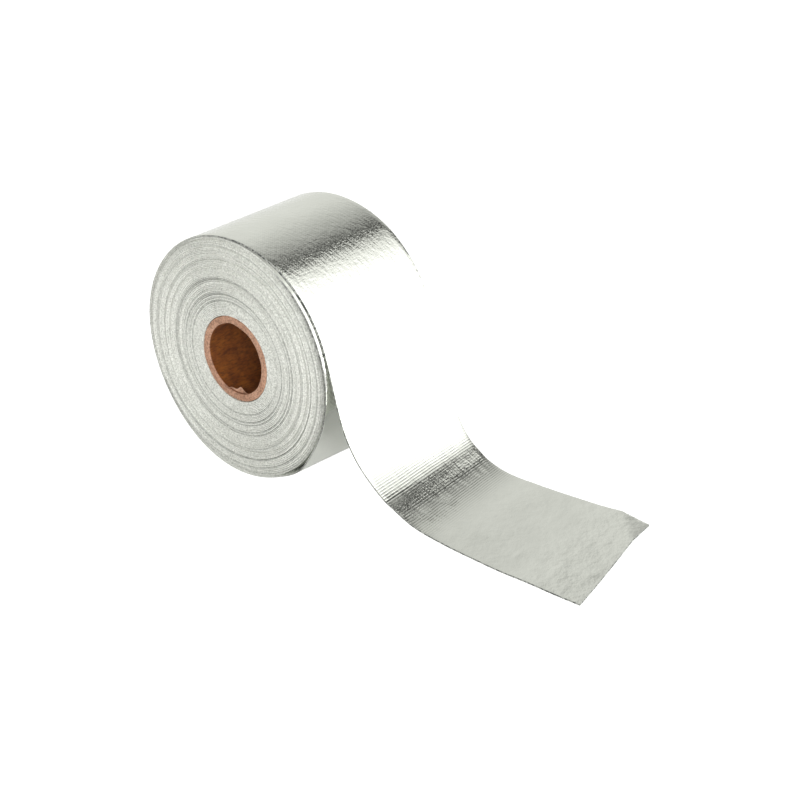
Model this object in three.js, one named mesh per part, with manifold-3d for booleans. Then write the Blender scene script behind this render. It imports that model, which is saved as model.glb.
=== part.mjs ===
// A roll of foil-faced glass-cloth heat tape on a cardboard core, lying on its rim with a free tail.
// Millimetres, +Z up. The roll's axis runs along Y, its front end faces -Y, and the tail runs to +X.

import * as THREE from "three";
import { mergeVertices } from "three/addons/utils/BufferGeometryUtils.js";
import Module from "manifold-3d";

// Tape
const TAPE_WIDTH = 50.8;
const TAPE_THICKNESS = 0.5;
const TURN_PITCH = 0.55; // what each wound turn adds to the radius, with the air between the turns
const WOUND_TURNS = 48; // turns under the outermost one
const TURNS_PER_CREST = 2; // the roll's ends show the turns as crests, each as wide as this many turns
const TURN_GROOVE = 0.4; // how deep the joint between two crests sinks into the roll's ends
const TURN_LAP = 0.3; // how deep the outermost turn is sunk into the turns under it
const EDGE_STEP = 1.2; // how far the outermost turn stands back from the front end where it leaves

// Cardboard core
const CORE_BORE_RADIUS = 12.25;
const CORE_WALL = 2.5;
const CORE_FIT = 0.3; // clearance between the core and the first turn

// Free tail: it leaves the roll on a tangent, comes down in one sweep and lies flat to its cut end.
// Its two edges come down in different places, so that the tail is slightly twisted.
const DEPARTURE_ANGLE = 15; // degrees above the roll's side
const FRONT_SWEEP = 82.9; // from the roll's side to where the front edge lies flat
const BACK_SWEEP = 38.1; // the same at the back edge
const FRONT_REACH = 94.9; // from the roll's side to the cut end's front corner
const CUT_SLANT = 9.2; // how much shorter the back edge is
const FRONT_DROP_PULL = 0.57; // how long the front edge keeps falling: a share of the height it leaves at
const BACK_DROP_PULL = 0.61;
const FRONT_FLOOR_PULL = 0.97; // how early the front edge levels out: a share of its sweep
const BACK_FLOOR_PULL = 0.79;

// Mesh fineness
const SEGMENTS_AROUND = 48;
const TAIL_SEGMENTS = 40;

// Sizes that follow from the ones above
const coreRadius = CORE_BORE_RADIUS + CORE_WALL;
const ringBore = coreRadius + CORE_FIT;
const ringRadius = ringBore + WOUND_TURNS * TURN_PITCH;
const rollSide = ringRadius + TAPE_THICKNESS;
const halfWidth = TAPE_WIDTH / 2;
const departure = THREE.MathUtils.degToRad(DEPARTURE_ANGLE);

const wasm = await Module();
wasm.setup();

function toSolid(geometry) {
  const bare = geometry.clone();
  bare.deleteAttribute("normal");
  bare.deleteAttribute("uv");
  const merged = mergeVertices(bare);
  const mesh = new wasm.Mesh({
    numProp: 3,
    vertProperties: new Float32Array(merged.attributes.position.array),
    triVerts: new Uint32Array(merged.index.array),
  });
  return new wasm.Manifold(mesh);
}

function toGeometry(solid) {
  const mesh = solid.getMesh();
  const geometry = new THREE.BufferGeometry();
  geometry.setAttribute("position", new THREE.BufferAttribute(mesh.vertProperties, 3));
  geometry.setIndex(new THREE.BufferAttribute(mesh.triVerts, 1));
  geometry.computeVertexNormals();
  return geometry;
}

function lathe(profile) {
  const closed = [...profile, profile[0]];
  return new THREE.LatheGeometry(closed, SEGMENTS_AROUND);
}

// Kraft-paper tube, as long as the tape is wide
function coreGeometry() {
  return lathe([
    new THREE.Vector2(CORE_BORE_RADIUS, -halfWidth),
    new THREE.Vector2(coreRadius, -halfWidth),
    new THREE.Vector2(coreRadius, halfWidth),
    new THREE.Vector2(CORE_BORE_RADIUS, halfWidth),
  ]);
}

// Wound turns as one turned ring, with crests on both ends and a groove at each joint
function woundTurns() {
  const crests = Math.round(WOUND_TURNS / TURNS_PER_CREST);
  const crestWidth = (ringRadius - ringBore) / crests;
  const front = [];
  for (let crest = 0; crest <= crests; crest += 1) {
    const joint = ringBore + crest * crestWidth;
    front.push(new THREE.Vector2(joint, TURN_GROOVE - halfWidth));
    if (crest < crests) {
      front.push(new THREE.Vector2(joint + crestWidth / 2, -halfWidth));
    }
  }
  const back = front.map((point) => new THREE.Vector2(point.x, -point.y)).reverse();
  return lathe([...front, ...back]);
}

// One station of the outermost turn, at a share from 0, where it comes up, to 1, where it leaves
function woundStation(share) {
  const angle = departure + (1 - share) * 2 * Math.PI;
  const outward = new THREE.Vector2(Math.cos(angle), Math.sin(angle));
  const innerRadius = ringRadius - TURN_LAP;
  const outerRadius = THREE.MathUtils.lerp(ringRadius - TURN_LAP / 2, rollSide, share);
  const outer = outward.clone().multiplyScalar(outerRadius);
  const inner = outward.clone().multiplyScalar(innerRadius);
  return {
    front: { outer, inner },
    back: { outer, inner },
    shift: EDGE_STEP * share,
  };
}

function woundStations() {
  const stations = [];
  for (let step = 0; step <= SEGMENTS_AROUND; step += 1) {
    stations.push(woundStation(step / SEGMENTS_AROUND));
  }
  return stations;
}

// The foil side of one edge of the tail, from the roll to the cut end
function tailEdge(floor, sweep, reach, dropPull, floorPull) {
  const foilFloor = floor + TAPE_THICKNESS;
  const leave = new THREE.Vector2(Math.cos(departure), Math.sin(departure)).multiplyScalar(rollSide);
  const fall = new THREE.Vector2(Math.sin(departure), -Math.cos(departure));
  const land = new THREE.Vector2(rollSide + sweep, foilFloor);
  const end = new THREE.Vector2(rollSide + reach, foilFloor);
  const leaveHandle = leave.clone().addScaledVector(fall, dropPull * (leave.y - foilFloor));
  const landHandle = new THREE.Vector2(land.x - floorPull * sweep, foilFloor);
  const edge = new THREE.CurvePath();
  edge.add(new THREE.CubicBezierCurve(leave, leaveHandle, landHandle, land));
  edge.add(new THREE.LineCurve(land, end));
  return edge;
}

function edgeSection(edge, share) {
  const outer = edge.getPoint(share);
  const along = edge.getTangent(share);
  const inner = new THREE.Vector2(outer.x + along.y * TAPE_THICKNESS, outer.y - along.x * TAPE_THICKNESS);
  return { outer, inner };
}

function tailStations(floor) {
  const backReach = FRONT_REACH - CUT_SLANT;
  const frontEdge = tailEdge(floor, FRONT_SWEEP, FRONT_REACH, FRONT_DROP_PULL, FRONT_FLOOR_PULL);
  const backEdge = tailEdge(floor, BACK_SWEEP, backReach, BACK_DROP_PULL, BACK_FLOOR_PULL);
  const stations = [];
  for (let step = 1; step <= TAIL_SEGMENTS; step += 1) {
    const share = step / TAIL_SEGMENTS;
    stations.push({
      front: edgeSection(frontEdge, share),
      back: edgeSection(backEdge, share),
      shift: EDGE_STEP * (1 - share),
    });
  }
  return stations;
}

// A long box bent along the stations: x runs across the tape, y from its inner to its foil side
function bentStrip(stations) {
  const steps = stations.length - 1;
  const strip = new THREE.BoxGeometry(1, 1, 1, 1, 1, steps);
  const position = strip.attributes.position;
  for (let index = 0; index < position.count; index += 1) {
    const station = stations[Math.round((position.getZ(index) + 0.5) * steps)];
    const across = position.getX(index) > 0 ? 1 : -1;
    const section = across > 0 ? station.back : station.front;
    const point = position.getY(index) > 0 ? section.outer : section.inner;
    position.setXYZ(index, point.x, across * halfWidth + station.shift, point.y);
  }
  return strip;
}

// The roll stands on the lowest line of its outermost turn, level with the tail's underside
const outermostTurn = woundStations();
const rollFloor = Math.min(...outermostTurn.map((station) => station.front.outer.y));

function tapeGeometry() {
  const strip = bentStrip([...outermostTurn, ...tailStations(rollFloor)]);
  return toGeometry(toSolid(woundTurns()).add(toSolid(strip)));
}

const kraft = new THREE.MeshStandardMaterial({ color: 0xb98c6c, roughness: 0.9, metalness: 0 });
const foil = new THREE.MeshStandardMaterial({ color: 0xd4d6d0, roughness: 0.35, metalness: 0.9 });

const core = new THREE.Mesh(coreGeometry(), kraft);
core.name = "cardboard_core";

const tape = new THREE.Mesh(tapeGeometry(), foil);
tape.name = "tape";

// The origin is the middle of the box that holds the part, on the surface it lies on
const roll = new THREE.Group();
roll.add(core, tape);
const box = new THREE.Box3().setFromObject(roll);
const middle = box.getCenter(new THREE.Vector3());
roll.position.set(-middle.x, -middle.y, -box.min.z);

export default roll;
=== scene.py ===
# The looks of a roll of reflective heat tape: foil on woven glass cloth, wound on a kraft-paper core.
# Metres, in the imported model's frame: the roll's axis runs along Y, and the tail leaves towards +X.

import math

import bpy
import numpy as np
from mathutils import Matrix, Vector


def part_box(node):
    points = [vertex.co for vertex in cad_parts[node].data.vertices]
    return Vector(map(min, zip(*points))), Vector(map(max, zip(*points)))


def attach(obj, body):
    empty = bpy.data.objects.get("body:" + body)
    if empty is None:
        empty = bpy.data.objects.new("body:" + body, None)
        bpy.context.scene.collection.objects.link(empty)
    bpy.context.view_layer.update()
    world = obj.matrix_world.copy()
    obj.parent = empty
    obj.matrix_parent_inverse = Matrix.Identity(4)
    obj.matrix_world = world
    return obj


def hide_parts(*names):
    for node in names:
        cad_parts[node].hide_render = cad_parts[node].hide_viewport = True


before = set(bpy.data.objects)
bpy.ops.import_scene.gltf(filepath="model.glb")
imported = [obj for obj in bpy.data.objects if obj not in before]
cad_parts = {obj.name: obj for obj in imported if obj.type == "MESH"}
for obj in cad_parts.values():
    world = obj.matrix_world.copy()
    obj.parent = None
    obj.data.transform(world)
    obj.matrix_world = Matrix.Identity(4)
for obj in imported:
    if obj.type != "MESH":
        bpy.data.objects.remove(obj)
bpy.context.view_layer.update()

# The roll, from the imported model
core_low, core_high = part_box("cardboard_core")
tape_low, tape_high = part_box("tape")
AXIS_X = (core_low.x + core_high.x) / 2
AXIS_Z = (core_low.z + core_high.z) / 2
MID_Y = (core_low.y + core_high.y) / 2
TAPE_WIDTH = core_high.y - core_low.y
CORE_RADIUS = (core_high.x - core_low.x) / 2

# The tape
TAPE_THICKNESS = 0.0005
CORE_WALL = 0.0025
TURNS = 50
ROLL_SIDE = 0.04195  # radius of the foil where the tail leaves the roll
CORE_FIT = 0.00018  # gap between the core and the first turn
TURN_PITCH = (ROLL_SIDE - CORE_RADIUS - CORE_FIT) / TURNS
TURN_FILL = 0.93  # how much of the pitch the tape fills, the rest is air
EDGE_STEP = 0.0012  # how far the outermost turn stands back from the front end where it leaves
RIB_PITCH = 0.00087  # the cloth's cross threads show through the foil as ribs
FOIL_INSET = 0.00012  # bare cloth along both edges of the foil

# The free tail: sweeps and reaches are measured from the roll's side
DEPARTURE = math.radians(15)
FRONT_SWEEP = 0.0829
BACK_SWEEP = 0.0381
FRONT_REACH = 0.0949
CUT_SLANT = 0.0092
FRONT_DROP_PULL = 0.57
BACK_DROP_PULL = 0.61
FRONT_FLOOR_PULL = 0.97
BACK_FLOOR_PULL = 0.79

# The front edge's foot: lengths from where the tail leaves, and how it departs from the sweep there
FOOT_LENGTHS = (0.038, 0.046, 0.049, 0.0503, 0.0565, 0.059, 0.063, 0.07, 0.078, 0.088)
FOOT_TURNS = (0, -6, -6.5, -1, -4.5, -2, 3, 5, 2.5, 0)  # degrees flatter

# Mesh fineness
WOUND_STEP = 0.0012
ROLL_STEP = 0.0003
TAIL_STEP = 0.00015
FOIL_COLUMNS = 29


def smooth_step(low, high, value):
    share = np.clip((value - low) / (high - low), 0, 1)
    return share * share * (3 - 2 * share)


def bump_at(value, centre, spread):
    return np.exp(-(((value - centre) / spread) ** 2))


def smooth_noise(seed, waves, shortest, longest):
    """A smooth random function of any number of coordinates: a sum of seeded cosines, about -1 to 1."""
    rng = np.random.default_rng(seed)
    lengths = np.exp(rng.uniform(math.log(shortest), math.log(longest), waves))
    phases = rng.uniform(0, 2 * math.pi, waves)
    turns = rng.uniform(0, 2 * math.pi, waves)

    def value(along, across=0.0):
        total = 0.0
        for length, phase, turn in zip(lengths, phases, turns):
            path = along * math.cos(turn) + across * math.sin(turn)
            total = total + np.cos(2 * math.pi * path / length + phase)
        return total / math.sqrt(waves)

    return value


def mesh_object(name, vertices, faces, materials, face_materials):
    """Its quads are shaded smooth, and the faces with more corners, which close a strip's ends, flat."""
    mesh = bpy.data.meshes.new(name)
    mesh.from_pydata([tuple(v) for v in vertices], [], faces)
    for material in materials:
        mesh.materials.append(material)
    mesh.polygons.foreach_set("material_index", face_materials)
    mesh.polygons.foreach_set("use_smooth", [len(face) == 4 for face in faces])
    mesh.update()
    made = bpy.data.objects.new(name, mesh)
    bpy.context.scene.collection.objects.link(made)
    return made


# Materials

def new_material(name):
    material = bpy.data.materials.new(name)
    material.use_nodes = True
    nodes = material.node_tree.nodes
    nodes.clear()
    shader = nodes.new("ShaderNodeBsdfPrincipled")
    output = nodes.new("ShaderNodeOutputMaterial")
    material.node_tree.links.new(shader.outputs["BSDF"], output.inputs["Surface"])
    return material, shader


class Graph:
    """Short calls for the few kinds of node that the materials use."""

    def __init__(self, material):
        self.nodes = material.node_tree.nodes
        self.links = material.node_tree.links

    def join(self, source, target):
        if isinstance(source, (int, float)):
            target.default_value = source
        else:
            self.links.new(source, target)

    def math(self, operation, first, second=0.0):
        node = self.nodes.new("ShaderNodeMath")
        node.operation = operation
        self.join(first, node.inputs[0])
        self.join(second, node.inputs[1])
        return node.outputs[0]

    def attribute(self, name):
        node = self.nodes.new("ShaderNodeAttribute")
        node.attribute_name = name
        return node.outputs["Fac"]

    def position(self):
        return self.nodes.new("ShaderNodeTexCoord").outputs["Object"]

    def direction(self):
        return self.nodes.new("ShaderNodeTexCoord").outputs["Generated"]

    def combine(self, x, y, z=0.0):
        node = self.nodes.new("ShaderNodeCombineXYZ")
        for source, target in zip((x, y, z), node.inputs):
            self.join(source, target)
        return node.outputs[0]

    def scaled(self, vector, x, y, z):
        node = self.nodes.new("ShaderNodeVectorMath")
        node.operation = "MULTIPLY"
        self.links.new(vector, node.inputs[0])
        node.inputs[1].default_value = (x, y, z)
        return node.outputs[0]

    def noise(self, vector, scale, detail=2.0, rough=0.5):
        node = self.nodes.new("ShaderNodeTexNoise")
        self.links.new(vector, node.inputs["Vector"])
        node.inputs["Scale"].default_value = scale
        node.inputs["Detail"].default_value = detail
        node.inputs["Roughness"].default_value = rough
        return node.outputs["Fac"]

    def spread(self, value, low, high, to_low, to_high):
        node = self.nodes.new("ShaderNodeMapRange")
        self.links.new(value, node.inputs["Value"])
        node.inputs["From Min"].default_value = low
        node.inputs["From Max"].default_value = high
        node.inputs["To Min"].default_value = to_low
        node.inputs["To Max"].default_value = to_high
        return node.outputs["Result"]

    def ramp(self, value, stops):
        node = self.nodes.new("ShaderNodeValToRGB")
        self.links.new(value, node.inputs["Fac"])
        elements = node.color_ramp.elements
        while len(elements) < len(stops):
            elements.new(0.5)
        for element, (place, color) in zip(elements, stops):
            element.position = place
            element.color = (*color, 1)
        return node.outputs["Color"]

    def mix(self, share, first, second):
        node = self.nodes.new("ShaderNodeMix")
        node.data_type = "RGBA"
        self.join(share, node.inputs[0])
        for source, target in ((first, node.inputs[6]), (second, node.inputs[7])):
            if isinstance(source, tuple):
                target.default_value = (*source, 1)
            else:
                self.links.new(source, target)
        return node.outputs[2]

    def bump(self, height):
        """height is in metres"""
        node = self.nodes.new("ShaderNodeBump")
        node.inputs["Strength"].default_value = 1.0
        node.inputs["Distance"].default_value = 1.0
        self.links.new(height, node.inputs["Height"])
        return node.outputs["Normal"]


# The foil's relief: heights in metres, and grain in waves for each metre
GROOVE_DEPTH = 0.00004
WEAVE_HEIGHT = 0.000008
STREAK_HEIGHT = 0.00016
GRAIN_HEIGHT = 0.00006
DENT_HEIGHT = 0.0001
STREAKS_ALONG = 330
STREAKS_ACROSS = 800
GRAIN_WAVES = 1300
DENT_WAVES = 210


def foil_material():
    """Aluminium foil pressed onto woven glass cloth: the weave, its uneven threads and fine creases.
    The attributes ribs, grain and crinkle say how much of each a stretch of the tape shows."""
    material, shader = new_material("foil")
    graph = Graph(material)
    along = graph.attribute("along")
    across = graph.attribute("across")
    flat = graph.combine(along, across)
    turn = 2 * math.pi / RIB_PITCH
    drift = graph.spread(graph.noise(graph.scaled(flat, 60, 160, 1), 1.0), 0, 1, -1.0, 1.0)
    rib = graph.math("COSINE", graph.math("ADD", graph.math("MULTIPLY", along, turn), drift))
    groove = graph.math("POWER", graph.spread(rib, -1, 1, 0, 1), 3.0)
    broken = graph.spread(graph.noise(graph.scaled(flat, 150, 500, 1), 1.0), 0.3, 0.7, 0.45, 1.25)
    groove = graph.math("MULTIPLY", graph.math("MULTIPLY", groove, broken), graph.attribute("ribs"))
    thread = graph.math("COSINE", graph.math("ADD", graph.math("MULTIPLY", across, turn), drift))
    weave = graph.math("MULTIPLY", graph.math("MULTIPLY", rib, thread), graph.attribute("grain"))
    streaks = graph.noise(graph.scaled(flat, STREAKS_ALONG, STREAKS_ACROSS, 1), 1.0, 2.0, 0.6)
    streaks = graph.math("MULTIPLY", streaks, graph.attribute("grain"))
    grain = graph.math("MULTIPLY", graph.noise(flat, GRAIN_WAVES, 2.0, 0.6), graph.attribute("grain"))
    dents = graph.math("MULTIPLY", graph.noise(flat, DENT_WAVES, 4.0, 0.6), graph.attribute("crinkle"))
    height = graph.math("MULTIPLY", groove, -GROOVE_DEPTH)
    parts = ((weave, WEAVE_HEIGHT), (streaks, STREAK_HEIGHT), (grain, GRAIN_HEIGHT), (dents, DENT_HEIGHT))
    for part, size in parts:
        height = graph.math("ADD", height, graph.math("MULTIPLY", part, size))
    shades = [(0.3, (0.78, 0.79, 0.75)), (0.7, (0.82, 0.83, 0.79))]
    tint = graph.ramp(graph.noise(flat, 90, 3.0), shades)
    graph.links.new(tint, shader.inputs["Base Color"])
    shader.inputs["Metallic"].default_value = 1.0
    rough = graph.spread(graph.noise(flat, 500, 3.0), 0.3, 0.7, 0.03, 0.06)
    graph.links.new(rough, shader.inputs["Roughness"])
    graph.links.new(graph.bump(height), shader.inputs["Normal"])
    return material


def cloth_edge_material():
    """The cut edge of the glass cloth: pale fibre ends, speckled, with the foil as a thin grey line.
    The attribute line says how much of that line shows, and grey how much painted shade darkens the edge."""
    material, shader = new_material("glass_cloth_edge")
    graph = Graph(material)
    place = graph.position()
    depth = graph.attribute("depth")
    speckle = graph.noise(place, 2100, 3.0, 0.65)
    patches = graph.noise(place, 160, 3.0, 0.6)
    fibre_shades = [
        (0.33, (0.33, 0.335, 0.31)),
        (0.5, (0.66, 0.665, 0.625)),
        (0.66, (0.92, 0.925, 0.885)),
    ]
    fibre = graph.ramp(speckle, fibre_shades)
    patch = graph.ramp(patches, [(0.35, (0.61, 0.62, 0.58)), (0.65, (0.72, 0.728, 0.69))])
    cloth = graph.mix(0.35, fibre, patch)
    line = graph.math("MULTIPLY", graph.spread(depth, 0.0, 0.3, 1.0, 0.0), graph.attribute("line"))
    dotted = graph.spread(graph.noise(place, 1100), 0.42, 0.56, 0.45, 1.0)
    # painted shade: grey mixes the edge towards near black where it lies in gaps or in shade
    dark = graph.math("MULTIPLY", graph.attribute("grey"), dotted)
    grey = graph.mix(dark, cloth, (0.06, 0.063, 0.06))
    graph.links.new(graph.mix(line, grey, (0.25, 0.26, 0.25)), shader.inputs["Base Color"])
    shader.inputs["Roughness"].default_value = 0.85
    shader.inputs["Specular IOR Level"].default_value = 0.25
    height = graph.math("MULTIPLY", speckle, 0.00012)
    graph.links.new(graph.bump(height), shader.inputs["Normal"])
    return material


def cloth_back_material():
    """The woven side of the cloth, with its adhesive."""
    material, shader = new_material("glass_cloth_back")
    graph = Graph(material)
    along = graph.attribute("along")
    across = graph.attribute("across")
    turn = math.pi / RIB_PITCH
    over = graph.math("SINE", graph.math("MULTIPLY", along, turn))
    under = graph.math("SINE", graph.math("MULTIPLY", across, turn))
    weave = graph.math("MULTIPLY", over, under)
    fibres = graph.noise(graph.position(), 1800, 3.0, 0.6)
    shades = [(0.25, (0.5, 0.52, 0.47)), (0.75, (0.8, 0.82, 0.77))]
    tint = graph.ramp(graph.math("ADD", graph.math("MULTIPLY", weave, 0.2), fibres), shades)
    graph.links.new(tint, shader.inputs["Base Color"])
    shader.inputs["Roughness"].default_value = 0.7
    weave_height = graph.math("MULTIPLY", weave, 0.00006)
    height = graph.math("ADD", weave_height, graph.math("MULTIPLY", fibres, 0.00008))
    graph.links.new(graph.bump(height), shader.inputs["Normal"])
    return material


def kraft_material():
    """Kraft paper tube: pinkish tan where the attribute cut is 1, darker brown inside, with fibres."""
    material, shader = new_material("kraft_board")
    graph = Graph(material)
    place = graph.position()
    cut = graph.attribute("cut")
    fibres = graph.noise(graph.scaled(place, 1, 0.3, 1), 1500, 3.0, 0.6)
    blotches = graph.noise(place, 220, 3.0, 0.6)
    wall = graph.ramp(blotches, [(0.3, (0.15, 0.036, 0.002)), (0.7, (0.27, 0.082, 0.007))])
    end = graph.ramp(blotches, [(0.3, (0.42, 0.222, 0.142)), (0.7, (0.6, 0.35, 0.242))])
    speck = graph.ramp(fibres, [(0.36, (0.42, 0.4, 0.38)), (0.58, (1.0, 1.0, 1.0))])
    tint = graph.nodes.new("ShaderNodeMix")
    tint.data_type = "RGBA"
    tint.blend_type = "MULTIPLY"
    tint.inputs[0].default_value = 0.75
    graph.links.new(graph.mix(cut, wall, end), tint.inputs[6])
    graph.links.new(speck, tint.inputs[7])
    graph.links.new(tint.outputs[2], shader.inputs["Base Color"])
    shader.inputs["Roughness"].default_value = 0.8
    height = graph.math("MULTIPLY", fibres, 0.00009)
    graph.links.new(graph.bump(height), shader.inputs["Normal"])
    return material


FOIL = foil_material()
CLOTH_EDGE = cloth_edge_material()
CLOTH_BACK = cloth_back_material()
KRAFT = kraft_material()


# The tape's path

OFF_CENTRE = 0.0021  # how far the middle turns lie off the core's centre
OFF_CENTRE_AT = math.radians(170)
PRESSED_IN = 0.0014  # how far the last turns are pressed in on their far side
PRESSED_AT = math.radians(208)
PRESSED_SPREAD = math.radians(38)
TOP_BULGE = 0.0013  # how much wider the roll's back end is, at its top and low down
TOP_BULGE_AT = math.radians(105)
TOP_BULGE_SPREAD = math.radians(45)
LOW_BULGE = 0.0017
LOW_BULGE_AT = math.radians(308)
LOW_BULGE_SPREAD = math.radians(20)
BULGED_TURNS = 12  # how many of the last turns are wider
THINNEST = 0.00002  # the tape's feather edge on the core


def angle_at(turns_left):
    return DEPARTURE + 2 * math.pi * turns_left


def angle_around(turns_left):
    """The same angle, from 0 to one full turn."""
    return np.mod(angle_at(turns_left), 2 * math.pi)


def turn_radius(turns_left):
    """Radius of the foil side, with a count of turns still to go before the tail leaves.
    The roll is wound a little off centre, tighter on its far side, where it is also pressed in."""
    share = 1 - turns_left / TURNS
    off_centre = OFF_CENTRE * (share - share ** 7) * np.cos(angle_at(turns_left) - OFF_CENTRE_AT)
    pressed = PRESSED_IN * share ** 8 * bump_at(angle_around(turns_left), PRESSED_AT, PRESSED_SPREAD)
    return ROLL_SIDE - TURN_PITCH * turns_left + off_centre - pressed


def back_bulge(turns_left, across):
    """How much wider the last turns are towards the roll's back end, where they are wound looser."""
    around = angle_around(turns_left)
    top = TOP_BULGE * bump_at(around, TOP_BULGE_AT, TOP_BULGE_SPREAD)
    low = LOW_BULGE * bump_at(around, LOW_BULGE_AT, LOW_BULGE_SPREAD)
    return (top + low) * smooth_step(BULGED_TURNS, 1, turns_left) * (across / TAPE_WIDTH + 0.5)


def turn_thickness(turns_left):
    """What one turn takes up at its place in the roll: it starts as a feather edge on the core."""
    inside = np.minimum(turns_left + 1, TURNS)
    room = np.maximum(turn_radius(turns_left) - turn_radius(inside), THINNEST)
    return TURN_FILL * room


def cubic(points, shares):
    """Places on a cubic curve, evenly spread along its length with the straight end that follows it."""
    leave, leave_handle, land_handle, land, end = (np.array(point) for point in points)
    t = np.linspace(0, 1, 4000)[:, None]
    curve = (1 - t) ** 3 * leave + 3 * t * (1 - t) ** 2 * leave_handle
    curve = curve + 3 * t ** 2 * (1 - t) * land_handle + t ** 3 * land
    line = np.vstack([curve, end])
    lengths = np.concatenate([[0], np.cumsum(np.linalg.norm(np.diff(line, axis=0), axis=1))])
    targets = shares * lengths[-1]
    return np.stack([np.interp(targets, lengths, line[:, axis]) for axis in (0, 1)], 1)


def tail_edge(sweep, reach, drop_pull, floor_pull, shares):
    """One edge of the tail's foil side as x and z from the roll's axis."""
    floor = TAPE_THICKNESS - AXIS_Z
    leave = ROLL_SIDE * np.array([math.cos(DEPARTURE), math.sin(DEPARTURE)])
    fall = np.array([math.sin(DEPARTURE), -math.cos(DEPARTURE)])
    leave_handle = leave + fall * drop_pull * (leave[1] - floor)
    land = (ROLL_SIDE + sweep, floor)
    land_handle = (ROLL_SIDE + sweep * (1 - floor_pull), floor)
    end = (ROLL_SIDE + reach, floor)
    return cubic((leave, leave_handle, land_handle, land, end), shares)


def section_grid(foil_x, foil_z, normals, across, depths, shift):
    """Vertices of a strip: at each station, points across the tape, each at a depth under its foil."""
    x = foil_x - normals[0] * depths
    z = foil_z - normals[1] * depths
    y = across + shift
    return np.stack([AXIS_X + x, MID_Y + y, AXIS_Z + z], -1)


def loop_faces(stations, around):
    """Quads between neighbouring stations, each a closed loop of vertices, and one face on each end."""
    faces = []
    for station in range(stations - 1):
        base = station * around
        for column in range(around):
            following = (column + 1) % around
            ahead = base + around
            faces.append((base + column, ahead + column, ahead + following, base + following))
    faces.append(tuple(range(around)))
    faces.append(tuple(reversed(range((stations - 1) * around, stations * around))))
    return faces


EDGE_ROUNDING = 0.00002
FOIL_FACE, EDGE_FACE, BACK_FACE = range(3)


def strip_columns(foil_columns, back_columns):
    """The section of a strip: places across the tape, depths under the foil as shares of the thickness,
    and what each face is made of. It runs along the foil from the front edge to the back edge, and
    returns under the tape."""
    half = TAPE_WIDTH / 2
    foil = np.linspace(FOIL_INSET - half, half - FOIL_INSET, foil_columns)
    back = np.linspace(half - FOIL_INSET, FOIL_INSET - half, back_columns)
    rounding = np.array([EDGE_ROUNDING, 0.0, EDGE_ROUNDING])
    edge_depths = np.array([0.08, 0.5, 0.92])
    across = np.concatenate([foil, half - rounding, back, rounding - half])
    foil_depths = np.zeros(foil_columns)
    back_depths = np.ones(back_columns)
    depths = np.concatenate([foil_depths, edge_depths, back_depths, edge_depths[::-1]])
    edge_faces = [EDGE_FACE] * (len(edge_depths) + 1)
    kinds = [FOIL_FACE] * (foil_columns - 1) + edge_faces + [BACK_FACE] * (back_columns - 1) + edge_faces
    return across, depths, kinds


def strip_object(name, grid, along, across, depths, kinds, marks):
    """The mesh of a strip. marks holds what its materials read, one number for each station."""
    stations, around = grid.shape[:2]
    faces = loop_faces(stations, around)
    face_kinds = kinds * (stations - 1) + [EDGE_FACE] * 2
    materials = (FOIL, CLOTH_EDGE, CLOTH_BACK)
    strip = mesh_object(name, grid.reshape(-1, 3), faces, materials, face_kinds)
    values = {
        "along": np.repeat(along, around),
        "across": np.tile(across, stations),
        "depth": np.tile(depths, stations),
    }
    for key, numbers in marks.items():
        values[key] = np.repeat(numbers * np.ones(stations), around)
    for key, numbers in values.items():
        strip.data.attributes.new(key, "FLOAT", "POINT").data.foreach_set("value", numbers)
    return strip


def frayed(grid, across, seed, amount):
    """Roughens the strip's two cut edges, where the fibres end, but not its first and last station."""
    rng = np.random.default_rng(seed)
    edge = np.abs(across) > TAPE_WIDTH / 2 - FOIL_INSET / 2
    rough = rng.normal(0, amount, (grid.shape[0], int(edge.sum()), 3))
    rough[[0, -1]] = 0
    grid[:, edge, :] += rough
    return grid


# The wound turns: one long spiral strip from the core to just under the outermost turn

RELIEF_AT_CORE = 0.00004
RELIEF_GAIN = 0.0004  # what the relief gains from the core to the outside
LEAN = 0.0009
LEAN_AT = math.radians(174)
LEAN_SPREAD = math.radians(55)
END_GROOVE = 0.0002
END_GROOVES_AT = ((8.2, 0.5), (20.5, 0.6))  # turns left, and width in turns
WOUND_ROUGHNESS = 0.00002


def end_relief(turns_left):
    """How far each turn stands in or out of the roll's ends: broad ridges, stronger near the outside,
    where the last turns also lean back on the roll's far side."""
    share = 1 - turns_left / TURNS
    ridges = smooth_noise(7, 8, 4.5, 11.0)(turns_left)
    steps = smooth_noise(8, 9, 1.3, 3.0)(turns_left)
    calm = smooth_step(0.0, 1.0, turns_left) * smooth_step(0.0, 2.0, TURNS - turns_left)
    far_side = bump_at(angle_around(turns_left), LEAN_AT, LEAN_SPREAD)
    lean = LEAN * smooth_step(4.3, 1.4, turns_left) * far_side
    grooves = END_GROOVE * sum(bump_at(turns_left, place, width) for place, width in END_GROOVES_AT)
    return calm * ((RELIEF_AT_CORE + RELIEF_GAIN * share) * (ridges + 0.5 * steps) + grooves + lean)


def shaded_edge(turns_left):
    """The last full turn's edge is in shade where the outermost turn starts to stand back from it."""
    return 0.75 * smooth_step(0.84, 0.9, turns_left) * smooth_step(1.14, 1.08, turns_left)


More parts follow.
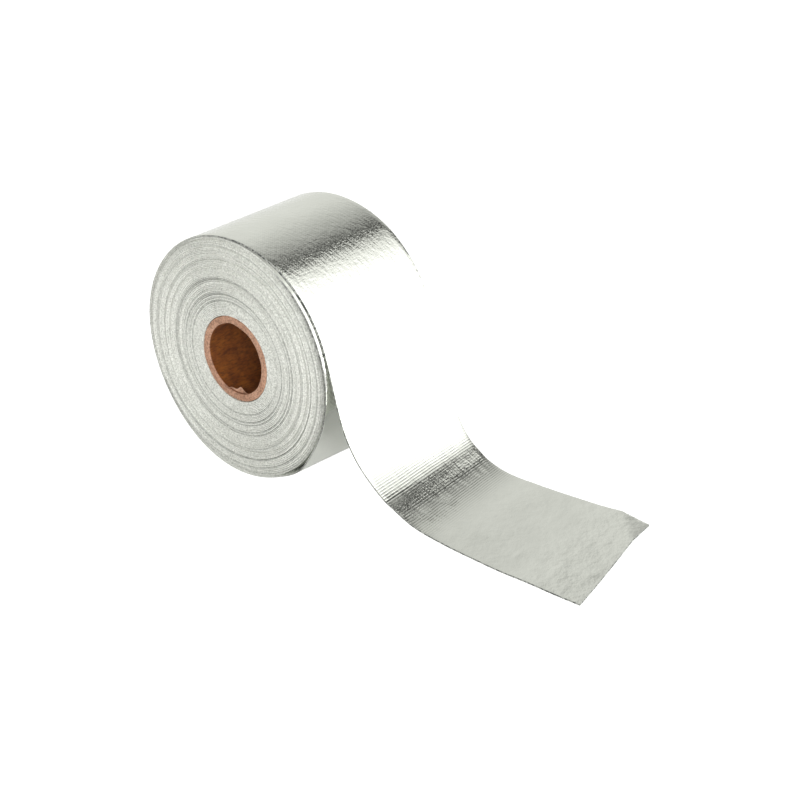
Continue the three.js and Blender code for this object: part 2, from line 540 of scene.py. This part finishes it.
def wound_turns():
    across, depths, kinds = strip_columns(2, 2)
    fine = np.linspace(TURNS, 1.0, 40000)
    steps = 2 * math.pi * turn_radius(fine[1:]) * -np.diff(fine)
    lengths = np.concatenate([[0], np.cumsum(steps)])
    stations = int(lengths[-1] / WOUND_STEP)
    along = np.linspace(0, lengths[-1], stations)
    turns_left = np.interp(along, lengths, fine)
    angle = angle_at(turns_left)
    loose = smooth_step(0.4, 1.2, smooth_noise(9, 8, 0.35, 3.0)(turns_left))
    loose = loose * smooth_step(1.0, 1.6, turns_left)
    thickness = turn_thickness(turns_left) * (1 - 0.22 * loose)
    shift = end_relief(turns_left[:, None] + depths[None, :])
    normals = (np.cos(angle)[:, None], np.sin(angle)[:, None])
    radius = turn_radius(turns_left)[:, None] + back_bulge(turns_left[:, None], across[None, :])
    sunk = depths[None, :] * thickness[:, None]
    grid = section_grid(normals[0] * radius, normals[1] * radius, normals, across[None, :], sunk, shift)
    grid = frayed(grid, across, 11, WOUND_ROUGHNESS)
    # painted shade: the edges of loose turns, whose gaps lie in shade, and the last full turn's edge are
    # painted darker. speckled darkens the outer turns' edges on the tail's side.
    speckled = 0.45 * smooth_step(7, 2.5, turns_left) * np.maximum(np.cos(angle), 0) ** 2
    grey = np.maximum(0.45 * loose, np.maximum(speckled, shaded_edge(turns_left)))
    smoother = 1 - 0.85 * smooth_step(1.2, 1.1, turns_left)
    marks = {"ribs": 0.1, "grain": smoother, "crinkle": 0.3, "line": 0.6 * loose, "grey": grey}
    return strip_object("wound_turns", grid, along, across, depths, kinds, marks)


# The outermost turn and the free tail: one strip, fine enough to carry the ribs

OUTER_LIFT = 0.001  # the outermost turn stands off the roll near its underside
OUTER_LIFT_AT = math.radians(309)
OUTER_LIFT_SPREAD = math.radians(11)
TAIL_SPAN = 0.122  # about how long the tail is, to count its stations
TAIL_ROUGHNESS = 0.000012
RIB_HEIGHT = 0.000012
RIB_WANDER = 0.00012
FOOT_AT = 0.053  # lengths from where the tail leaves the roll
FOOT_SPREAD = 0.011
DARK_RUN_AT = 0.0535
DARK_RUN_SPREAD = 0.0035
STRAIGHT_RUN_AT = 0.0525
STRAIGHT_RUN_SPREAD = 0.0028
FOLD_POINT = (0.1176, 0.0254)  # a point of the fold across the tail's back corner
FOLD_TOWARDS = (0.722, 0.692)
FOLD_HEIGHT = 0.0014
FOLD_TO_CORNER = 0.0073
FOLD_FADE = 0.009
DIMPLES = (  # x, y, size and height of the small bumps near the cut end
    (0.1215, -0.013, 0.0026, 0.0003),
    (0.1299, -0.0108, 0.0022, 0.00027),
    (0.1259, -0.0126, 0.0015, 0.00017),
    (0.1066, -0.0149, 0.0014, 0.00014),
)


def foot_dip(length):
    """How far the front edge departs from its smooth sweep at the foot, where it runs straighter."""
    fine = np.linspace(0, FOOT_LENGTHS[-1], 2001)
    slope = np.radians(np.interp(fine, FOOT_LENGTHS, FOOT_TURNS))
    dip = np.concatenate([[0], np.cumsum(slope[1:] * np.diff(fine))])
    return np.interp(length, fine, dip)


def tail_height(length, flat_x, y):
    """How far the tail lies above its smooth sweep: its foot, folded corner, front edge and dimples."""
    floor_part = smooth_step(0.045, 0.085, length)
    height = 0.00008 * (1 + smooth_noise(21, 14, 0.012, 0.05)(length, y)) * floor_part
    height = height + 0.00004 * smooth_noise(22, 10, 0.01, 0.04)(length, y) * (1 - floor_part)
    fold = (flat_x - FOLD_POINT[0]) * FOLD_TOWARDS[0] + (y - FOLD_POINT[1]) * FOLD_TOWARDS[1]
    crest = np.where(fold > 0, 1 - fold / FOLD_TO_CORNER, np.exp(fold / FOLD_FADE))
    height = height + FOLD_HEIGHT * np.clip(crest, 0, 1) * floor_part
    for x, across, size, tall in DIMPLES:
        away = np.hypot(flat_x - x, y - across)
        height = height + tall * bump_at(away, 0.0, size)
    front_share = 0.5 - y / TAPE_WIDTH
    straight_run = bump_at(length, STRAIGHT_RUN_AT, STRAIGHT_RUN_SPREAD)
    straight_height = 0.00022 - 0.00012 * front_share
    height = height + front_share * foot_dip(length) + straight_height * straight_run
    front_lift = bump_at(flat_x, 0.117, 0.009) * bump_at(y, -0.0254, 0.004)
    return height + 0.0004 * front_lift * floor_part


def outer_turn_line(turns_left, across):
    """The outermost turn's foil side as x and z from the roll's axis."""
    angle = angle_at(turns_left)
    lift = OUTER_LIFT * bump_at(angle, OUTER_LIFT_AT, OUTER_LIFT_SPREAD)
    radius = (turn_radius(turns_left) + lift)[:, None] + back_bulge(turns_left[:, None], across[None, :])
    return np.stack([np.cos(angle)[:, None] * radius, np.sin(angle)[:, None] * radius], 2)


def tail_line(shares, across):
    """The tail's foil side in the same way, ruled between its two edges."""
    front = tail_edge(FRONT_SWEEP, FRONT_REACH, FRONT_DROP_PULL, FRONT_FLOOR_PULL, shares)
    back = tail_edge(BACK_SWEEP, FRONT_REACH - CUT_SLANT, BACK_DROP_PULL, BACK_FLOOR_PULL, shares)
    side = (across / TAPE_WIDTH + 0.5)[None, :, None]
    return front[:, None, :] * (1 - side) + back[:, None, :] * side


def outer_marks(length, still_wound):
    """The looks of each stretch, by its length from where the tail leaves and the turns still wound."""
    on_tail = length > 0
    foot_ribs = 1.5 * smooth_step(0.036, 0.048, length) * smooth_step(0.072, 0.06, length)
    foot_ribs = foot_ribs * (1 - 0.85 * bump_at(length, DARK_RUN_AT, DARK_RUN_SPREAD))
    foot_grain = 0.8 * bump_at(length, DARK_RUN_AT, 0.004)
    roll_grain = 1 - 0.85 * smooth_step(0.8, 0.88, still_wound)
    flat_crinkle = 1.8 * smooth_step(0.062, 0.08, length) + 3.2 * smooth_step(0.095, 0.112, length)
    # painted shade on the outermost turn's cut edge: where it leaves the roll and stands back, and over
    # the gap where it lifts off near the roll's underside
    painted_edge_shade = np.maximum(1 - smooth_step(0.19, 0.29, still_wound), shaded_edge(still_wound))
    painted_edge_shade = np.maximum(painted_edge_shade, 0.8 * bump_at(still_wound, 0.82, 0.035))
    return {
        "ribs": np.where(on_tail, 0.04 + foot_ribs, 0.1),
        "grain": np.where(on_tail, 0.25 + foot_grain, roll_grain),
        "crinkle": np.where(on_tail, 0.3 + flat_crinkle, 0.3),
        "line": 0.6,
        # the tail's cut edge is painted dark, as painted shade
        "grey": np.where(on_tail, 0.95, painted_edge_shade),
    }


def rib_relief(along, across, length):
    """The ribs' height on the foil side, strongest around the tail's foot and weak in its dark run."""
    wander = RIB_WANDER * smooth_noise(31, 8, 0.012, 0.05)(along[:, None], across[None, :])
    rib = np.cos(2 * math.pi * (along[:, None] + wander) / RIB_PITCH)
    foot = bump_at(length, FOOT_AT, FOOT_SPREAD)
    dark_run = bump_at(length, DARK_RUN_AT, DARK_RUN_SPREAD)
    return rib * (RIB_HEIGHT * foot * (1 - 0.9 * dark_run) + 0.0000006 * (length > 0))


def outer_turn_and_tail():
    """Makes the strip, and gives its length along the foil side to the cut end too."""
    across, depths, kinds = strip_columns(FOIL_COLUMNS, 5)
    turn_stations = int(2 * math.pi * ROLL_SIDE / ROLL_STEP)
    turns_left = np.linspace(1.0, 0, turn_stations)
    shares = np.linspace(0, 1, int(TAIL_SPAN / TAIL_STEP))[1:]
    line = np.concatenate([outer_turn_line(turns_left, across), tail_line(shares, across)])
    steps = np.linalg.norm(np.diff(line, axis=0), axis=2).mean(1)
    along = np.concatenate([[0], np.cumsum(steps)])
    direction = np.gradient(line, axis=0)
    direction /= np.linalg.norm(direction, axis=2)[:, :, None]
    normals = (-direction[:, :, 1], direction[:, :, 0])
    # sideways, the turn stands back from the roll's front end where it leaves
    stands_back = 1 - smooth_step(0.097, 0.25, turns_left)
    relief = end_relief(turns_left[:, None] + depths[None, :] * (turns_left[:, None] > 0))
    turn_shift = EDGE_STEP * stands_back[:, None] + relief
    tail_shift = np.repeat(EDGE_STEP * (1 - shares)[:, None], len(across), 1)
    shift = np.concatenate([turn_shift, tail_shift])
    # under the foil
    wound_thickness = np.minimum(turn_thickness(turns_left), TAPE_THICKNESS)
    thickness = np.concatenate([wound_thickness, np.full(len(shares), TAPE_THICKNESS)])[:, None]
    length = (along - along[turn_stations - 1])[:, None]
    ribs = np.where((depths == 0)[None, :], rib_relief(along, across, length), 0.0)
    height = np.where(length > 0, tail_height(length, line[:, :, 0], across[None, :]), 0.0)
    sunk = depths[None, :] * thickness - height - ribs
    grid = section_grid(line[:, :, 0], line[:, :, 1], normals, across[None, :], sunk, shift)
    grid[:, :, 2] = np.maximum(grid[:, :, 2], 0.0)
    grid = frayed(grid, across, 41, TAIL_ROUGHNESS)
    still_wound = np.concatenate([turns_left, 0 * shares])
    marks = outer_marks(length[:, 0], still_wound)
    strip = strip_object("outer_turn_and_tail", grid, along, across, depths, kinds, marks)
    return strip, along[-1]


# The kraft-paper core

CORE_AROUND = 240
BORE_RADIUS = CORE_RADIUS - CORE_WALL
CORE_PLIES = 4
PLY_JOINT = 0.0001  # half the width of the joint between two plies
JOINT_DEPTH = 0.00012
RIM_WIDTH = 0.0002  # the rounded rims of the tube's ends
RIM_DROP = 0.00004
RIM_DEPTH = 0.0003
END_ROUGHNESS = 0.00003
END_WAVES = 0.0001


def core_profile():
    """Radius and place along Y from the middle: across the front end, through the bore and out over the
    back end."""
    half = TAPE_WIDTH / 2
    end = [(BORE_RADIUS, half - RIM_DEPTH), (BORE_RADIUS + RIM_WIDTH, half - RIM_DROP)]
    for ply in range(1, CORE_PLIES):
        joint = BORE_RADIUS + CORE_WALL * ply / CORE_PLIES
        end.extend([(joint - PLY_JOINT, half), (joint, half - JOINT_DEPTH), (joint + PLY_JOINT, half)])
    end.extend([(CORE_RADIUS - RIM_WIDTH, half - RIM_DROP), (CORE_RADIUS, half - RIM_DEPTH)])
    bore = [(BORE_RADIUS, place) for place in np.linspace(-half + 0.0007, half - 0.0007, 12)]
    front = [(radius, -place) for radius, place in reversed(end)]
    return front + bore + end


def core_tube():
    profile = np.array(core_profile())
    around = np.linspace(0, 2 * math.pi, CORE_AROUND, endpoint=False)
    rng = np.random.default_rng(51)
    rows, columns = CORE_AROUND, len(profile)
    radius = np.tile(profile[:, 0], (rows, 1))
    place = np.tile(profile[:, 1], (rows, 1))
    on_end = np.abs(place) > TAPE_WIDTH / 2 - 0.00035
    waves = smooth_noise(52, 10, 0.3, 1.6)
    radius += on_end * END_WAVES * waves(around)[:, None]
    place += on_end * rng.normal(0, END_ROUGHNESS, (rows, columns))
    radius += on_end * rng.normal(0, END_ROUGHNESS, (rows, columns))
    x = AXIS_X + radius * np.cos(around)[:, None]
    z = AXIS_Z + radius * np.sin(around)[:, None]
    vertices = np.stack([x, MID_Y + place, z], -1).reshape(-1, 3)
    faces = []
    for row in range(rows):
        ahead = (row + 1) % rows
        for column in range(columns):
            following = (column + 1) % columns
            faces.append((row * columns + column, row * columns + following,
                          ahead * columns + following, ahead * columns + column))
    tube = mesh_object("core_tube", vertices, faces, (KRAFT,), [0] * len(faces))
    cut = np.where(on_end, 1.0, 0.0).reshape(-1)
    tube.data.attributes.new("cut", "FLOAT", "POINT").data.foreach_set("value", cut)
    return tube


FLAP_FROM = 250  # degrees
FLAP_SWEEP = 43  # degrees
FLAP_REACH = 0.0028
FLAP_THICKNESS = 0.00022
FLAP_COLUMNS = 28
FLAP_ROWS = 8


def torn_ply():
    """A flap of the tube's inner ply, torn at the bore's front rim and curled in towards the axis."""
    columns, rows = FLAP_COLUMNS, FLAP_ROWS
    u, v = np.meshgrid(np.linspace(0, 1, columns), np.linspace(0, 1, rows), indexing="ij")
    angle = np.radians(FLAP_FROM + FLAP_SWEEP * u)
    reach = FLAP_REACH * np.sin(math.pi * u) ** 0.6 * (0.75 + 0.25 * np.cos(9 * u))
    radius = BORE_RADIUS + 0.0001 - reach * np.sin(v * math.pi / 2)
    place = -TAPE_WIDTH / 2 + 0.0009 - 0.0011 * v + 0.0008 * v * v * np.sin(math.pi * u)
    thick = FLAP_THICKNESS * (1 - 0.6 * v)
    points = []
    for side in (0, 1):
        y = MID_Y + place + side * thick
        ring = radius + side * thick * 0.5
        face = np.stack([AXIS_X + ring * np.cos(angle), y, AXIS_Z + ring * np.sin(angle)], -1)
        points.append(face.reshape(-1, 3))
    vertices = np.concatenate(points)
    inner = columns * rows
    faces = []
    for column in range(columns - 1):
        for row in range(rows - 1):
            corner = column * rows + row
            quad = (corner, corner + rows, corner + rows + 1, corner + 1)
            faces.append(quad)
            faces.append(tuple(inner + index for index in reversed(quad)))
    rim = [column * rows for column in range(columns)]
    rim += [(columns - 1) * rows + row for row in range(1, rows)]
    rim += [column * rows + rows - 1 for column in range(columns - 2, -1, -1)]
    rim += list(range(rows - 2, 0, -1))
    for place_in_rim, index in enumerate(rim):
        following = rim[(place_in_rim + 1) % len(rim)]
        faces.append((index, inner + index, inner + following, following))
    flap = mesh_object("torn_ply", vertices, faces, (KRAFT,), [0] * len(faces))
    flap.data.attributes.new("cut", "FLOAT", "POINT").data.foreach_set("value", np.ones(len(vertices)))
    return flap


# The studio: a pale floor, a soft sky with a dark gap over the roll, a white card and a soft light

FLOOR_SIZE = 12
FLOOR_UNDER = 0.00002
BACKDROP_GLOW = 0.5
BOUNCE_GLOW = 0.12
CARD_SIZE = 2
CARD_PLACE = (1.03, 1.06, -0.00001)
CARD_GLOW = 1.2
KEY_PLACE = (AXIS_X + 1.26, -1.08, 0.56)
KEY_TARGET = (AXIS_X, -0.026, AXIS_Z)
KEY_SIZE = 0.6
KEY_POWER = 12.6


def studio_floor():
    """Two planes in one place: a bright one that only the camera sees, as a backdrop that is lit from
    below, and one that lights the roll and shades it."""
    for name, glow, seen in (("floor", BACKDROP_GLOW, True), ("floor_bounce", BOUNCE_GLOW, False)):
        bpy.ops.mesh.primitive_plane_add(size=FLOOR_SIZE, location=(0, 0, -FLOOR_UNDER))
        floor = bpy.context.object
        floor.name = name
        material, shader = new_material(name)
        shader.inputs["Base Color"].default_value = (0.86, 0.86, 0.86, 1)
        shader.inputs["Roughness"].default_value = 0.9
        shader.inputs["Specular IOR Level"].default_value = 0.1
        shader.inputs["Emission Color"].default_value = (1, 1, 1, 1)
        shader.inputs["Emission Strength"].default_value = glow
        floor.data.materials.append(material)
        floor.visible_camera = seen
        floor.visible_diffuse = not seen
        floor.visible_glossy = not seen
        floor.visible_shadow = not seen


def reflector_card():
    """A white card on the floor beside the tail, which only the foil mirrors."""
    bpy.ops.mesh.primitive_plane_add(size=CARD_SIZE, location=CARD_PLACE)
    card = bpy.context.object
    card.name = "card"
    material, shader = new_material("card")
    shader.inputs["Base Color"].default_value = (0.9, 0.9, 0.9, 1)
    shader.inputs["Emission Color"].default_value = (1, 1, 1, 1)
    shader.inputs["Emission Strength"].default_value = CARD_GLOW
    card.data.materials.append(material)
    card.visible_camera = False
    card.visible_diffuse = False
    card.visible_shadow = False


# Levels of light from the roll's far side, at -1, to the tail's side, at 1
SKY_BEHIND = (
    (-1.0, 0.87), (-0.6, 0.805), (-0.46, 0.7), (-0.33, 0.56), (-0.19, 0.43), (-0.1, 0.32),
    (-0.05, 0.18), (-0.02, 0.06), (0.06, 0.05), (0.09, 0.32), (0.13, 0.85), (0.2, 1.04),
    (0.3, 1.1), (0.37, 1.3), (0.46, 1.8), (0.6, 2.3), (1.0, 2.6),
)
SKY_IN_FRONT = ((-1.0, 0.35), (-0.3, 0.45), (0.3, 0.85), (1.0, 1.5))


def sky_stops(levels):
    """Ramp stops from levels of light at sideways parts of a direction, from -1 to 1.
    The light is faintly green where it is dim, and nearly neutral where it is bright."""
    stops = []
    for sideways, level in levels:
        tinted = min(level, 0.9)
        stops.append(((sideways + 1) / 2, (level - 0.01 * tinted, level, level - 0.05 * tinted)))
    return stops


def studio_sky():
    world = bpy.data.worlds.new("studio")
    bpy.context.scene.world = world
    world.use_nodes = True
    graph = Graph(world)
    graph.nodes.clear()
    background = graph.nodes.new("ShaderNodeBackground")
    output = graph.nodes.new("ShaderNodeOutputWorld")
    graph.links.new(background.outputs[0], output.inputs["Surface"])
    split = graph.nodes.new("ShaderNodeSeparateXYZ")
    graph.links.new(graph.direction(), split.inputs[0])
    share = graph.spread(split.outputs[0], -1, 1, 0, 1)
    front = graph.spread(split.outputs[1], -0.1, 0.35, 1, 0)
    behind = graph.ramp(share, sky_stops(SKY_BEHIND))
    in_front = graph.ramp(share, sky_stops(SKY_IN_FRONT))
    sky = graph.mix(front, behind, in_front)
    graph.links.new(sky, background.inputs["Color"])


def key_light():
    light = bpy.data.lights.new("key", "AREA")
    light.shape = "SQUARE"
    light.size = KEY_SIZE
    light.energy = KEY_POWER
    lamp = bpy.data.objects.new("key", light)
    lamp.location = KEY_PLACE
    lamp.rotation_euler = (Vector(KEY_TARGET) - Vector(KEY_PLACE)).to_track_quat("-Z", "Y").to_euler()
    lamp.visible_camera = False
    bpy.context.scene.collection.objects.link(lamp)


# The camera, as the photograph was taken

CAMERA_AZIMUTH = math.radians(41.71)
CAMERA_ELEVATION = math.radians(24.87)
CAMERA_ROLL = math.radians(-2.23)
CAMERA_DISTANCE = 0.49043
CAMERA_TARGET = Vector((AXIS_X + 0.04897, MID_Y, 0.03087))
FOCAL_PIXELS = 1527.1
PHOTO_PIXELS = 800
SENSOR = 36.0


def photo_camera():
    level = math.cos(CAMERA_ELEVATION)
    sideways = Vector((math.sin(CAMERA_AZIMUTH), -math.cos(CAMERA_AZIMUTH), 0)) * level
    back = sideways + Vector((0, 0, math.sin(CAMERA_ELEVATION)))
    right = (-back).cross(Vector((0, 0, 1))).normalized()
    up = right.cross(-back)
    turned_right = right * math.cos(CAMERA_ROLL) + up * math.sin(CAMERA_ROLL)
    turned_up = up * math.cos(CAMERA_ROLL) - right * math.sin(CAMERA_ROLL)
    data = bpy.data.cameras.new("camera")
    data.sensor_width = SENSOR
    data.lens = SENSOR * FOCAL_PIXELS / PHOTO_PIXELS
    data.clip_start = 0.01
    camera = bpy.data.objects.new("camera", data)
    place = CAMERA_TARGET + back * CAMERA_DISTANCE
    axes = Matrix((turned_right, turned_up, back)).transposed().to_4x4()
    camera.matrix_world = Matrix.Translation(place) @ axes
    bpy.context.scene.collection.objects.link(camera)
    bpy.context.scene.camera = camera


photo_camera()
studio_floor()
reflector_card()
studio_sky()
key_light()
bpy.context.scene.view_settings.view_transform = "Standard"

turns = wound_turns()
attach(turns, "root")
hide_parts("tape")

tail, tail_cut = outer_turn_and_tail()
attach(tail, "root")
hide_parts("tape")

for board in (core_tube(), torn_ply()):
    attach(board, "root")
    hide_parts("cardboard_core")
